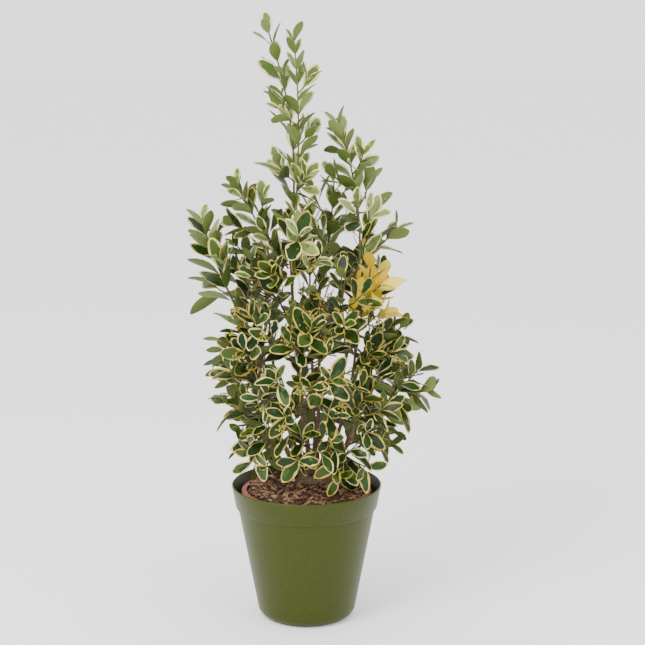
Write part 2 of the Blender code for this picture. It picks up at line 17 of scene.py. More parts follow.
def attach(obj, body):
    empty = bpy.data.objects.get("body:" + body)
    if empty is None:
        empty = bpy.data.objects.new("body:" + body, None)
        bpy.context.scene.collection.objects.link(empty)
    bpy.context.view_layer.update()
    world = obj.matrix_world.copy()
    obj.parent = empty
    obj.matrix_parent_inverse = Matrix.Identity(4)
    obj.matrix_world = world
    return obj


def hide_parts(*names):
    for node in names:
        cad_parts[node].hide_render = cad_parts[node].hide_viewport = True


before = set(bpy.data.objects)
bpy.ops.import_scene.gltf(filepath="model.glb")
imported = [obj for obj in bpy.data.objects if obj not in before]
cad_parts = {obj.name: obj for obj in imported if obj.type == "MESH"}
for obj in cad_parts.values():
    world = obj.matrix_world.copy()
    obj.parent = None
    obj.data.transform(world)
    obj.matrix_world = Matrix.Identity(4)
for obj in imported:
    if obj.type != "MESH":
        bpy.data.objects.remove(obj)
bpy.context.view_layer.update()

# Clearance between neighbouring pieces
GAP = 0.0003

# Outer pot, moulded plastic with a collar band
POT_HEIGHT = 0.2009
POT_RIM_RADIUS = 0.110
POT_WALL = 0.0024
RIM_ROUNDING = POT_WALL * 0.6
COLLAR_FOOT_RADIUS = 0.1042
COLLAR_FOOT_HEIGHT = 0.1669
COLLAR_STEP = 0.002
COLLAR_INNER_STEP = 0.003
COLLAR_EDGE = 0.001
COLLAR_EDGE_HEIGHT = 0.0015
BODY_TOP_RADIUS = 0.1006
BODY_FOOT_RADIUS = 0.0730
FOOT_ROUNDING = 0.0176
POT_FLOOR = 0.0035
POT_SEGMENTS = 128

# Nursery pot that stands in the outer pot
LINER_FOOT_RADIUS = 0.0520
LINER_HEEL_RADIUS = 0.0640
LINER_HEEL_HEIGHT = 0.0160
LINER_TOP_RADIUS = 0.0897
LINER_RIM_RADIUS = 0.0955
LINER_RIM_HEIGHT = 0.1920
LINER_SKIRT = 0.0140
LINER_WALL = 0.0015
LINER_EDGE = 0.001
LINER_SEGMENTS = 96

# Potting soil, a flat-topped mound, and how steeply chips lie on its slope
SOIL_TOP = 0.1970
SOIL_EDGE = 0.1880
SOIL_FLAT_RADIUS = 0.0740
SOIL_SHOULDER = 0.003
SOIL_SLOPE = 0.5

# Root crown, cut flat on the soil, and the old dead stub beside it
CROWN_CENTRE = Vector((0.009, 0.023, SOIL_TOP + GAP))
CROWN_HALF = (0.036, 0.027)
CROWN_HEIGHT = 0.024
STUB_CENTRE = Vector((0.060, 0.004, SOIL_TOP + GAP))
STUB_HALF = (0.014, 0.008)
STUB_HEIGHT = 0.011
STEM_FOOT_HEIGHT = SOIL_TOP + 0.010

# Both lumps of wood: height and width shares of each ring, and how far the lobes stand out
LUMP_CORNERS = 22
LUMP_RINGS = ((0.0, 1.0), (0.14, 0.88), (0.36, 0.74), (0.62, 0.64), (0.86, 0.50), (1.0, 0.26))
LOBE_DEPTH = 0.16
LOBE_FADE = 0.6
LUMP_JITTER = (-0.04, 0.04)

# Leaves: their width, and the plain leaf that is tried for room, widest past its middle
LEAF_WIDTH_SHARE = 0.46
LEAF_WIDEST = 0.58
LEAF_TIP_SHARE = 0.30
LEAF_THICKNESS = 0.0012
LEAF_CURL = 0.06
LEAF_SINK = 0.0002

# Woody stems and leafy shoots, and the level direction that turns about them start from
LIMB_SIDES = 8
LIMB_LENGTH = 0.045
STEM_LENGTH = 0.050
STEM_LEAST_LENGTHS = 3
STEM_SIDES = 6
TWIG_SIDES = 5
SHOOT_TIP_RADIUS = 0.0011
SIDE_STEM_RADIUS = 0.0016
FOOT_ROUNDS = 3
TURN_START = Vector((0.31, 0.95, 0.0))

# Pairs of leaves along a shoot: places, sizes, and how much each turn, tilt and length varies
INTERNODE = 0.022
FIRST_PAIR = 0.75
LAST_PLACE = 0.985
TIP_PAIR_ANGLE = 0.75
TWIG_LEAF_SHARE = 0.92
LEAST_SIZE = 0.86
SWELL = 0.30
SWELL_END = 1.1
TIP_LOSS = 0.22
PAIR_TWIST = (-0.2, 0.2)
TILT_SWAY = (-9, 9)
LENGTH_SWAY = (0.88, 1.12)

# Side twigs: places on their stem, turns and angle in radians, lengths, radii and bends
TWIG_START = 0.20
TWIG_ZONE = 0.62
TWIG_FIRST_TURN = 0.8
TWIG_NEXT_TURN = 2.4
TWIG_SWAY = (-0.4, 0.4)
TWIG_ANGLE = math.radians(46)
TWIG_FOOT_LENGTH = 1.1
TWIG_LENGTH_LOSS = 0.45
TWIG_LENGTH_SWAY = (0.9, 1.15)
TWIG_LEAST_RADIUS = SHOOT_TIP_RADIUS * 1.15
TWIG_RADIUS_SHARE = 0.66
TWIG_BEND_OUT = 0.06
TWIG_BEND_BACK = 0.04
TWIG_LENGTHS = 2

# Room in the crown: the plain shapes that are tried, their clearances, and where they start, so
# that a root may touch its own stem. A leaf tries stances of a swing in degrees and a length share.
SPACE_REACH = 0.080
SPACE_STEP = 0.005
CLEAR = 0.0005
TWIG_CLEAR = 0.0030
TRIAL_STEM_SIDES = 4
TRIAL_TWIG_SIDES = 3
TRIAL_TWIG_START = 0.2
KEPT_TWIG_START = 0.12
TRIAL_LEAF_START = 0.14
TRIAL_LEAF_GROWTH = 2 * CLEAR
LEAST_TILT = 0.5
STANCES = ((0, 1.0), (-14, 0.95), (12, 0.9), (-28, 0.85), (0, 0.72), (-20, 0.66))

Limb = namedtuple("Limb", "name foot tip bow foot_radius tip_radius")

# Woody stems: foot on the root crown, tip, sideways bow of the middle, radii at foot and tip
LIMBS = (
    Limb("leader_stem", (0.008, 0.022), (-0.023, 0.010, 0.563), (-0.006, 0.004, 0), 0.0042, 0.0019),
    Limb("right_stem", (0.022, 0.022), (0.077, 0.000, 0.530), (0.005, 0.000, 0), 0.0038, 0.0018),
    Limb("left_stem", (-0.006, 0.020), (-0.069, -0.015, 0.404), (-0.016, -0.002, 0), 0.0040, 0.0020),
    Limb("fork_stem", (0.012, 0.032), (0.017, 0.030, 0.469), (0.004, 0.006, 0), 0.0036, 0.0019),
    Limb("front_stem", (0.008, 0.010), (-0.009, -0.045, 0.349), (0.000, -0.012, 0), 0.0032, 0.0019),
    Limb("low_left_stem", (-0.014, 0.011), (-0.064, -0.040, 0.299), (-0.005, -0.006, 0), 0.0026, 0.0017),
    Limb("low_right_stem", (0.028, 0.012), (0.069, -0.030, 0.296), (0.006, -0.004, 0), 0.0028, 0.0018),
    Limb("back_left_stem", (-0.002, 0.034), (-0.055, 0.075, 0.420), (-0.012, 0.012, 0), 0.0034, 0.0018),
    Limb("back_right_stem", (0.025, 0.034), (0.075, 0.078, 0.420), (0.012, 0.012, 0), 0.0034, 0.0018),
    Limb("back_stem", (0.013, 0.042), (0.005, 0.085, 0.460), (0.000, 0.012, 0), 0.0030, 0.0018),
)

Mass = namedtuple("Mass", "name limb at tip bow leaf spread twigs twig_length")

# Leafy masses: carrying stem (its name without _stem) and how far along it, tip of the mass's own
# stem, bow of its middle, leaf length, leaf angle in degrees at foot and tip, number and length of
# side twigs
MASSES = tuple(Mass(*row) for row in (
    ("leader_top", "leader", 1.0, (-0.052, 0, 0.856), (0.018, 0.004, 0), 0.04, (46, 24), 2, 0.036),
    ("leader_twin", "leader", 0.93, (-0.016, -0.018, 0.846), (0.008, -0.012, 0), 0.038, (46, 24), 2, 0.034),
    ("upper_left", "leader", 0.86, (-0.097, 0, 0.64), (0, 0, -0.008), 0.038, (50, 28), 3, 0.05),
    ("shoulder_left", "leader", 0.62, (-0.054, -0.04, 0.556), (-0.004, 0, -0.01), 0.044, (58, 34), 2, 0.055),
    ("shoulder_front", "leader", 0.78, (-0.012, -0.062, 0.6), (0, -0.012, -0.01), 0.044, (60, 34), 2, 0.055),
    ("right_top", "right", 1.0, (0.046, 0, 0.728), (0.01, 0, 0), 0.039, (48, 26), 3, 0.044),
    ("right_shoulder", "right", 0.86, (0.084, 0.004, 0.63), (0.01, 0, -0.006), 0.04, (52, 30), 3, 0.052),
    ("yellow_spray", "right", 0.66, (0.092, -0.04, 0.528), (0.004, -0.008, -0.008), 0.05, (55, 34), 2, 0.046),
    ("mid_right", "right", 0.48, (0.118, -0.03, 0.44), (0.006, 0, -0.012), 0.047, (66, 42), 2, 0.05),
    ("inner_right", "right", 0.56, (0.05, -0.064, 0.52), (0, -0.008, -0.012), 0.045, (62, 38), 2, 0.058),
    ("fork_top", "fork", 1.0, (0.04, 0.018, 0.645), (0.004, 0, 0), 0.04, (54, 30), 4, 0.06),
    ("centre", "fork", 0.7, (0.014, -0.03, 0.506), (0, -0.006, -0.014), 0.045, (66, 40), 2, 0.058),
    ("far_left", "left", 1.0, (-0.148, 0, 0.586), (-0.006, 0, 0), 0.048, (50, 30), 2, 0.044),
    ("left_high", "left", 0.9, (-0.08, 0.028, 0.528), (0, 0.004, 0), 0.044, (60, 36), 2, 0.058),
    ("left_mid", "left", 0.66, (-0.092, -0.024, 0.425), (0, -0.004, -0.012), 0.05, (72, 50), 2, 0.05),
    ("left_front", "left", 0.8, (-0.056, -0.066, 0.47), (0, -0.01, -0.01), 0.046, (66, 40), 2, 0.058),
    ("front_upper", "front", 1.0, (0.002, -0.09, 0.462), (0, -0.01, -0.004), 0.047, (72, 44), 3, 0.058),
    ("front_right", "front", 0.84, (0.04, -0.108, 0.398), (0, -0.008, -0.012), 0.048, (80, 58), 2, 0.055),
    ("front_left", "front", 0.74, (-0.038, -0.104, 0.398), (0, -0.008, -0.014), 0.048, (80, 58), 2, 0.055),
    ("front_low", "front", 0.46, (-0.006, -0.098, 0.3), (0, -0.006, -0.01), 0.048, (88, 72), 2, 0.05),
    ("low_left", "low_left", 1.0, (-0.08, -0.044, 0.34), (0, 0, 0), 0.048, (80, 62), 2, 0.046),
    ("low_left_front", "low_left", 0.72, (-0.056, -0.082, 0.286), (0, 0, -0.004), 0.048, (90, 76), 2, 0.04),
    ("low_left_side", "low_left", 0.5, (-0.068, 0.004, 0.286), (0, 0, -0.006), 0.048, (88, 72), 2, 0.04),
    ("low_right", "low_right", 1.0, (0.16, -0.026, 0.376), (0, 0, -0.008), 0.048, (74, 52), 2, 0.046),
    ("low_right_side", "low_right", 0.62, (0.104, -0.014, 0.292), (0, 0, -0.004), 0.048, (86, 70), 2, 0.044),
    ("low_right_front", "low_right", 0.46, (0.06, -0.082, 0.274), (0, 0, -0.006), 0.047, (90, 76), 2, 0.042),
    ("right_front", "low_right", 0.88, (0.078, -0.084, 0.366), (0, -0.004, -0.006), 0.048, (76, 56), 2, 0.05),
    ("back_left_top", "back_left", 1.0, (-0.07, 0.084, 0.54), (0, 0, -0.004), 0.045, (60, 36), 2, 0.056),
    ("back_left_mid", "back_left", 0.6, (-0.104, 0.066, 0.384), (0, 0, -0.01), 0.048, (72, 50), 2, 0.05),
    ("back_left_low", "back_left", 0.34, (-0.07, 0.094, 0.3), (0, 0, -0.01), 0.048, (86, 68), 2, 0.046),
    ("back_right_top", "back_right", 1.0, (0.078, 0.086, 0.54), (0, 0, -0.004), 0.045, (60, 36), 2, 0.056),
    ("back_right_mid", "back_right", 0.6, (0.114, 0.06, 0.384), (0, 0, -0.01), 0.048, (72, 50), 2, 0.05),
    ("back_right_low", "back_right", 0.34, (0.078, 0.094, 0.3), (0, 0, -0.01), 0.048, (86, 68), 2, 0.046),
    ("back_top", "back", 1.0, (0.004, 0.08, 0.6), (0, 0, -0.003), 0.044, (58, 34), 2, 0.056),
    ("back_mid", "back", 0.66, (0.008, 0.122, 0.424), (0, 0, -0.012), 0.047, (72, 50), 2, 0.055),
    ("back_low", "back", 0.38, (0.008, 0.112, 0.304), (0, 0, -0.01), 0.048, (86, 68), 2, 0.046),
))

# More twigs and leaves than in the solids, which their tips pass a little: extra twigs and leaf
# length for each mass, with others for the spire, where a mass's stem ends above its height
FINE_TWIGS = 6
FINE_LEAF = 1.06
SPIRE_HEIGHT = 0.57
SPIRE_TWIGS = 2
SPIRE_LEAF = 1.22
YELLOW_MASS = "yellow_spray"

# One leaf: rows of places along it and their widths, the share of each half that is green, less
# so at its ends and when young, and the ranges of its cup, curl, wave and edge
LEAF_ROWS = ((0.0, 0.05), (0.08, 0.12), (0.22, 0.50), (0.38, 0.84), (0.54, 1.0), (0.70, 0.92),
             (0.84, 0.70), (0.94, 0.42), (1.0, 0.10))
LEAF_COLUMNS = 5
GREEN_ZONE = (0.56, 0.96)
LEAF_MIDDLE = (0.2, 0.9)
END_ZONE = 0.72
YOUNG_ZONE = 0.86
CUPS = (0.10, 0.30)
CURLS = (0.04, 0.16)
WAVES = (-0.05, 0.05)
WAVE_TURN = 6.3
EDGES = (0.97, 1.03)
SHEET = 0.0005

# Tones: leaves above a height that varies are young, and some green faces are flecks
YOUNG_HEIGHT = 0.56
YOUNG_SWAY = (-0.07, 0.07)
FLECK_SHARE = 0.25
GREENS = ("#142c03", "#1f3707", "#0e2503", "#324615")
YOUNG_GREENS = ("#586b31", "#6b7b44", "#475c26", "#7b864d")
CREAMS = ("#b9a54c", "#c7b979", "#a88f38")
YOUNG_CREAMS = ("#d6cb86", "#dbd49d", "#c7c070")
BACKS = ("#5a6831", "#687540", "#4a5c26")
YELLOWS = ("#c7ae20", "#d4c056", "#bc9f18")
TWIG_TONES = ("#5c5e38", "#4f4c2f")
BUD_TONES = ("#9a9239",)
CHIP_TONES = ("#72543b", "#533c2c", "#917356", "#3b2b25")

# Flower buds: round buds on short stems at the end of a thin stalk
BUD_MASSES = ("centre", "front_upper", "front_right", "front_left", "inner_right", "mid_right",
              "shoulder_front", "left_front")
BUD_PLACES = (0.5, 0.9)
BUDS = 7
BUD_RADIUS = 0.0017
BUD_SPREAD = (-0.006, 0.006)
STALK_LENGTHS = (0.020, 0.032)
STALK_LEAN = 0.8
STALK_BOW = 0.002
STALK_RADII = (0.0007, 0.0005)
STALK_SIDES = 4
BUD_STEM_RADIUS = 0.0004
BUD_STEM_SIDES = 3
BALL_CORNERS = ((1, 0, 0), (-1, 0, 0), (0, 1, 0), (0, -1, 0), (0, 0, 1), (0, 0, -1))
BALL_FACES = ((0, 2, 4), (2, 1, 4), (1, 3, 4), (3, 0, 4), (2, 0, 5), (1, 2, 5), (3, 1, 5), (0, 3, 5))

# Bark chips: half their length, width and depth, their tilt in radians and their worn corners
CHIPS = 640
CHIP_REACH = 0.084
CHIP_HALVES = ((0.0025, 0.008), (0.0012, 0.0032), (0.0006, 0.0016))
CHIP_TILTS = (-0.35, 0.35)
CHIP_LIFT = 0.0015
CHIP_WEAR = (0.7, 1.1)
BOX_FACES = ((0, 1, 3, 2), (4, 6, 7, 5), (0, 4, 5, 1), (2, 3, 7, 6), (0, 2, 6, 4), (1, 5, 7, 3))

# Grained finishes, and bark that is rounded and furrowed along its height
GRAIN_DETAIL = 6.0
DARK_UNTIL = 0.35
LIGHT_FROM = 0.68
RELIEF_STRENGTH = 0.6
BARK_ROUNDING = 0.4
FURROW_STRETCH = 0.4

# Angles in degrees above which an edge stays sharp, and how near turned corners are welded
LEAF_SHARP = 60
TURNED_SHARP = 35
CHIP_SHARP = 20
WELD = 0.00001

# Floor, sky, lamps and camera
FLOOR_SIZE = 30
SKY_STRENGTH = 2.0
Lamp = namedtuple("Lamp", "name place size power")
LAMPS = (Lamp("key", (-1.4, -1.8, 2.2), 1.2, 80), Lamp("fill", (1.8, -1.6, 1.2), 1.6, 16))
LAMP_AIM = Vector((0, 0, 0.45))
CAMERA_LENS = 94.6
CAMERA_SENSOR = 36
CAMERA_PLACE = (0.0235, -2.4, 0.9237)
CAMERA_PITCH = 0.1983

# A growing axis: both ends, the bow of its middle, its radii and its number of straight lengths
Axis = namedtuple("Axis", "foot tip bow foot_radius tip_radius lengths")


def bowed(axis, share):
    """Point on the smooth bowed line of an axis at a share of its length."""
    return axis.foot.lerp(axis.tip, share) + axis.bow * (4 * share * (1 - share))


def spot(axis, share):
    """Point at a share of an axis on the straight lengths that its tube is made of."""
    step = min(axis.lengths - 1, int(share * axis.lengths))
    lower = bowed(axis, step / axis.lengths)
    upper = bowed(axis, (step + 1) / axis.lengths)
    return lower.lerp(upper, share * axis.lengths - step)


def heading(axis, share):
    """Direction of an axis at a share of its length."""
    return (axis.tip - axis.foot + axis.bow * (4 - 8 * share)).normalized()


def radius_at(axis, share):
    return axis.foot_radius + (axis.tip_radius - axis.foot_radius) * share


def sideways(direction, turn):
    """Unit vector across a direction, turned about it."""
    first = direction.cross(TURN_START).normalized()
    return Matrix.Rotation(turn, 3, direction) @ first


def ringed_faces(rings, sides):
    """Faces of a closed body of one ring of corners above another, with a cap at both ends."""
    faces = [tuple(reversed(range(sides)))]
    for ring in range(rings):
        for side in range(sides):
            here = ring * sides + side
            there = ring * sides + (side + 1) % sides
            faces.append((here, there, there + sides, here + sides))
    faces.append(tuple(range(rings * sides, (rings + 1) * sides)))
    return faces


def tube(axis, sides, turn=0.0, extra=0.0, start=0.0):
    """Vertices and faces of a closed tapering tube along an axis."""
    points = []
    for ring in range(axis.lengths + 1):
        share = max(start, ring / axis.lengths)
        along = heading(axis, share)
        centre = spot(axis, share)
        size = radius_at(axis, share) + extra
        for side in range(sides):
            points.append(centre + sideways(along, turn + 2 * math.pi * side / sides) * size)
    return points, ringed_faces(axis.lengths, sides)


def leaf_frame(axis, share, out, tilt):
    """Directions of the shoot, of a leaf on it and of the leaf's upper side."""
    along = heading(axis, share)
    ahead = along * math.cos(tilt) + out * math.sin(tilt)
    up = along * math.sin(tilt) - out * math.cos(tilt)
    return along, ahead, up


def trial_leaf(axis, share, out, tilt, length):
    """Vertices and faces of the plain leaf that is tried for room, with its clearance.

    It has two corners a little way up from its root, two shoulders and a blunt tip.
    """
    along, ahead, up = leaf_frame(axis, share, out, tilt)
    across = up.cross(ahead).normalized()
    width = length * LEAF_WIDTH_SHARE + TRIAL_LEAF_GROWTH
    half = (LEAF_THICKNESS + TRIAL_LEAF_GROWTH) / 2
    root = spot(axis, share) - out * LEAF_SINK
    base = root + ahead * (length * TRIAL_LEAF_START)
    shoulder = root + ahead * (length * LEAF_WIDEST) + up * half
    tip = root + ahead * (length + TRIAL_LEAF_GROWTH) - up * (length * LEAF_CURL)
    points = [
        base + along * half,
        base - along * half,
        shoulder + across * (width / 2),
        tip + across * (width * LEAF_TIP_SHARE / 2) + up * half,
        tip - across * (width * LEAF_TIP_SHARE / 2) - up * half,
        shoulder - across * (width / 2),
    ]
    faces = [(0, 5, 2), (2, 5, 3), (3, 5, 4), (1, 2, 4), (1, 4, 5), (2, 3, 4), (0, 2, 1), (0, 1, 5)]
    return points, faces


def leaf_spots(axis, spread, size, turn, rng):
    """Opposite pairs along an axis, each pair turned a quarter from the last, and one at the tip."""
    length = (axis.tip - axis.foot).length
    count = max(1, round(length / INTERNODE))
    leaves = []
    for pair in range(count + 1):
        share = min(LAST_PLACE, (pair + FIRST_PAIR) / (count + FIRST_PAIR))
        along = heading(axis, share)
        angle = spread[0] + (spread[1] - spread[0]) * share
        if pair == count:
            angle *= TIP_PAIR_ANGLE
        swell = math.sin(math.pi * min(1.0, share * SWELL_END))
        scale = size * (LEAST_SIZE + SWELL * swell) * (1 - TIP_LOSS * share)
        for half in (0, 1):
            out = sideways(along, turn + pair * math.pi / 2 + half * math.pi + rng.uniform(*PAIR_TWIST))
            tilt = math.radians(angle + rng.uniform(*TILT_SWAY))
            leaves.append((share, out, tilt, scale * rng.uniform(*LENGTH_SWAY)))
    return leaves


def twig_axes(axis, mass, turn, rng):
    """Side twigs in leaf axils along a mass's stem, shorter toward its tip."""
    twigs = []
    for number in range(mass.twigs):
        share = TWIG_START + TWIG_ZONE * (number + 0.5) / mass.twigs
        along = heading(axis, share)
        out = sideways(along, turn + number * TWIG_NEXT_TURN + rng.uniform(*TWIG_SWAY))
        length = mass.twig_length * (TWIG_FOOT_LENGTH - TWIG_LENGTH_LOSS * share)
        length *= rng.uniform(*TWIG_LENGTH_SWAY)
        ahead = along * math.cos(TWIG_ANGLE) + out * math.sin(TWIG_ANGLE)
        foot = spot(axis, share)
        thick = max(TWIG_LEAST_RADIUS, radius_at(axis, share) * TWIG_RADIUS_SHARE)
        bend = (out * TWIG_BEND_OUT - along * TWIG_BEND_BACK) * length
        twigs.append(Axis(foot, foot + ahead * length, bend, thick, SHOOT_TIP_RADIUS, TWIG_LENGTHS))
    return twigs


def limb_axis(limb):
    foot = Vector((limb.foot[0], limb.foot[1], STEM_FOOT_HEIGHT))
    tip = Vector(limb.tip)
    lengths = round((tip - foot).length / LIMB_LENGTH)
    return Axis(foot, tip, Vector(limb.bow), limb.foot_radius, limb.tip_radius, lengths)


def stem_axis(mass, limb):
    """Axis of a mass's own stem, 0.3 mm clear of the limb that carries it."""
    tip = Vector(mass.tip)
    carrier = spot(limb, mass.at)
    along = heading(limb, mass.at)
    lengths = max(STEM_LEAST_LENGTHS, round((tip - carrier).length / STEM_LENGTH))
    bow = Vector(mass.bow)
    if mass.at == 1.0:
        foot = carrier + along * GAP
        return Axis(foot, tip, bow, limb.tip_radius, SHOOT_TIP_RADIUS, lengths)
    foot = carrier
    for _ in range(FOOT_ROUNDS):
        ahead = (tip - foot + bow * 4).normalized()
        angle = ahead.angle(along)
        clear = radius_at(limb, mass.at) + GAP + SIDE_STEM_RADIUS * abs(math.cos(angle))
        foot = carrier + ahead * (clear / math.sin(angle))
    return Axis(foot, tip, bow, SIDE_STEM_RADIUS, SHOOT_TIP_RADIUS, lengths)


def plan_shoots(mass, stem):
    """Everything drawn by a mass's seed: its side twigs and the leaves of each shoot."""
    rng = random.Random(mass.name)
    turn = rng.uniform(0, math.pi)
    shoots = [(turn + math.pi / 4, stem, leaf_spots(stem, mass.spread, mass.leaf, turn, rng))]
    for twig in twig_axes(stem, mass, turn + TWIG_FIRST_TURN, rng):
        twig_turn = rng.uniform(0, math.pi)
        leaves = leaf_spots(twig, mass.spread, mass.leaf * TWIG_LEAF_SHARE, twig_turn, rng)
        shoots.append((twig_turn, twig, leaves))
    return shoots


def ball_round(points):
    """Centre and radius of a ball that holds every point."""
    centre = sum(points, Vector()) / len(points)
    return centre, max((point - centre).length for point in points)


class Room:
    """What is already in place, and which mass each point of the crown belongs to."""

    def __init__(self):
        self.solids = []
        self.owners = []
        self.nearest = None

    def share_out(self, shoots):
        """Give each mass the space that is nearer to its own shoots than to any other's."""
        samples = []
        for name, axis in shoots:
            count = max(2, round((axis.tip - axis.foot).length / SPACE_STEP))
            samples += [(name, spot(axis, step / count)) for step in range(count + 1)]
        self.owners = [name for name, _ in samples]
        self.nearest = KDTree(len(samples))
        for index, (_, point) in enumerate(samples):
            self.nearest.insert(point, index)
        self.nearest.balance()

    def owns(self, name, points):
        """Whether every point is in the named mass's own space."""
        for point in points:
            _, index, distance = self.nearest.find(point)
            if self.owners[index] != name or distance > SPACE_REACH:
                return False
        return True

    def add(self, shape, key=None):
        centre, size = ball_round(shape[0])
        self.solids.append((key, centre, size, BVHTree.FromPolygons(*shape)))

    def is_free(self, shape, host):
        """Whether a shape touches nothing in place but the shoot that carries it."""
        centre, size = ball_round(shape[0])
        tree = BVHTree.FromPolygons(*shape)
        for key, other, reach, solid in self.solids:
            near = (other - centre).length < size + reach
            if near and key != host and tree.overlap(solid):
                return False
        return True


def fits(room, mass, host, axis, leaf):
    """The first of a few nearby stances in which a leaf keeps to its space, or None."""
    share, out, tilt, length = leaf
    for swing, scale in STANCES:
        stance = (axis, share, out, max(LEAST_TILT, tilt + math.radians(swing)), length * scale)
        trial = trial_leaf(*stance)
        if room.owns(mass.name, trial[0]) and room.is_free(trial, host):
            room.add(trial)
            return stance
    return None


def roomy_twigs(room, mass, shoots):
    """The stem of a mass and those of its twigs that keep well clear of what is in place."""
    kept = shoots[:1]
    for shoot in shoots[1:]:
        axis = shoot[1]
        trial = tube(axis, TRIAL_TWIG_SIDES, extra=TWIG_CLEAR, start=TRIAL_TWIG_START)
        if room.is_free(trial, mass.name):
            solid = tube(axis, TRIAL_TWIG_SIDES, extra=CLEAR, start=KEPT_TWIG_START)
            room.add(solid, (mass.name, len(kept)))
            kept.append(shoot)
    return kept


def linear(hex_colour):
    """Linear RGBA of an sRGB hex colour."""
    values = [int(hex_colour[place:place + 2], 16) / 255 for place in (1, 3, 5)]
    return [((v + 0.055) / 1.055) ** 2.4 if v > 0.04045 else v / 12.92 for v in values] + [1.0]


def add_node(tree, kind, **settings):
    node = tree.nodes.new(kind)
    for key, value in settings.items():
        node.inputs[key].default_value = value
    return node


def plain(name, colour, roughness, gloss=0.2):
    """One even colour with a soft sheen."""
    finish = bpy.data.materials.new(name)
    finish.use_nodes = True
    shader = finish.node_tree.nodes["Principled BSDF"]
    shader.inputs["Base Color"].default_value = linear(colour)
    shader.inputs["Roughness"].default_value = roughness
    shader.inputs["Specular IOR Level"].default_value = gloss
    return finish


def grained(name, dark, light, roughness, grain, depth):
    """Two tones mixed by a noise of a size in metres, with a relief of the same grain."""
    finish = plain(name, dark, roughness)
    tree = finish.node_tree
    shader = tree.nodes["Principled BSDF"]
    place = add_node(tree, "ShaderNodeTexCoord")
    grains = add_node(tree, "ShaderNodeTexNoise", Scale=1 / grain, Detail=GRAIN_DETAIL)
    mix = add_node(tree, "ShaderNodeValToRGB")
    for stop, at, colour in zip(mix.color_ramp.elements, (DARK_UNTIL, LIGHT_FROM), (dark, light)):
        stop.position = at
        stop.color = linear(colour)
    relief = add_node(tree, "ShaderNodeBump", Strength=RELIEF_STRENGTH, Distance=depth)
    tree.links.new(place.outputs["Object"], grains.inputs["Vector"])
    tree.links.new(grains.outputs["Fac"], mix.inputs["Fac"])
    tree.links.new(mix.outputs["Color"], shader.inputs["Base Color"])
    tree.links.new(grains.outputs["Fac"], relief.inputs["Height"])
    tree.links.new(relief.outputs["Normal"], shader.inputs["Normal"])
    return finish


def moulded_green():
    """Moulded olive plastic: nearly even, with a faint orange-peel that softens the highlight."""
    return grained("moulded_olive", "#2f3500", "#343a00", roughness=0.40, grain=0.004, depth=0.00006)


def moulded_pink():
    """Thin moulded nursery plastic, dusty from use."""
    return grained("nursery_pink", "#7b4037", "#8f554b", roughness=0.55, grain=0.006, depth=0.00006)


def soil_finish():
    """Dark crumbly potting mix that shows between the chips."""
    return grained("crumbly_soil", "#33241a", "#5c4331", roughness=0.95, grain=0.003, depth=0.0015)


def bark_finish():
    """Brown bark with fine furrows."""
    return grained("stem_bark", "#4b3a2d", "#7d6a55", roughness=0.85, grain=0.0022, depth=0.0006)


def dead_finish():
    """Weathered grey dead wood."""
    return grained("grey_wood", "#6d6154", "#a79a88", roughness=0.9, grain=0.0016, depth=0.0005)


def add_object(name, data):
    thing = bpy.data.objects.new(name, data)
    bpy.context.scene.collection.objects.link(thing)
    return thing


def mesh_object(name, shape, finishes):
    points, faces = shape
    mesh = bpy.data.meshes.new(name)
    mesh.from_pydata(points, [], faces)
    for finish in finishes:
        mesh.materials.append(finish)
    return add_object(name, mesh)


def soften(thing, angle):
    thing.data.shade_smooth()
    thing.data.set_sharp_from_angle(angle=math.radians(angle))


class Piece:
    """One joined piece: faces of one kind, each with one of a few tones."""

    def __init__(self, name, finishes):
        self.name = name
        self.finishes = finishes
        self.points = []
        self.faces = []
        self.tones = []

    def add(self, points, faces, tone=0):
        start = len(self.points)
        self.points += points
        self.faces += [tuple(start + corner for corner in face) for face in faces]
        self.tones += tone if isinstance(tone, list) else [tone] * len(faces)

    def finish(self, slot, nodes, angle=LEAF_SHARP):
        thing = mesh_object(self.name, (self.points, self.faces), self.finishes)
        thing.data.polygons.foreach_set("material_index", self.tones)
        soften(thing, angle)
        return dress(thing, nodes)


def dress(thing, nodes):
    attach(thing, "root")
    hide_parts(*nodes)
    return thing


def roughen(thing, cuts, grain, amplitude):
    """Finer faces with a bark relief of a grain and an amplitude in metres."""
    bm = bmesh.new()
    bm.from_mesh(thing.data)
    bmesh.ops.subdivide_edges(bm, edges=bm.edges, cuts=cuts, use_grid_fill=True,
                              smooth=BARK_ROUNDING)
    bm.normal_update()
    for corner in bm.verts:
        place = Vector((corner.co.x, corner.co.y, corner.co.z * FURROW_STRETCH))
        corner.co += corner.normal * (noise.noise(place / grain) * amplitude)
    bm.to_mesh(thing.data)
    bm.free()
    thing.data.shade_smooth()


def turned(name, profile, segments, finish):
    """Closed body turned about Z from a profile of (radius, height) points."""
    bm = bmesh.new()
    chain = [bm.verts.new((radius, 0, height)) for radius, height in profile]
    edges = [bm.edges.new(pair) for pair in zip(chain, chain[1:])]
    bmesh.ops.spin(bm, geom=chain + edges, cent=(0, 0, 0), axis=(0, 0, 1), dvec=(0, 0, 0),
                   angle=2 * math.pi, steps=segments, use_merge=True)
    bmesh.ops.remove_doubles(bm, verts=bm.verts, dist=WELD)
    bmesh.ops.recalc_face_normals(bm, faces=bm.faces)
    mesh = bpy.data.meshes.new(name)
    bm.to_mesh(mesh)
    bm.free()
    mesh.materials.append(finish)
    thing = add_object(name, mesh)
    soften(thing, TURNED_SHARP)
    return thing


def rounded_foot(radius, rounding, floor, steps):
    """Quarter arc from the flat of a foot up to its side."""
    arc = []
    for step in range(steps + 1):
        angle = math.pi / 2 * step / steps
        arc.append((radius - rounding + rounding * math.sin(angle),
                    floor + rounding * (1 - math.cos(angle))))
    return arc


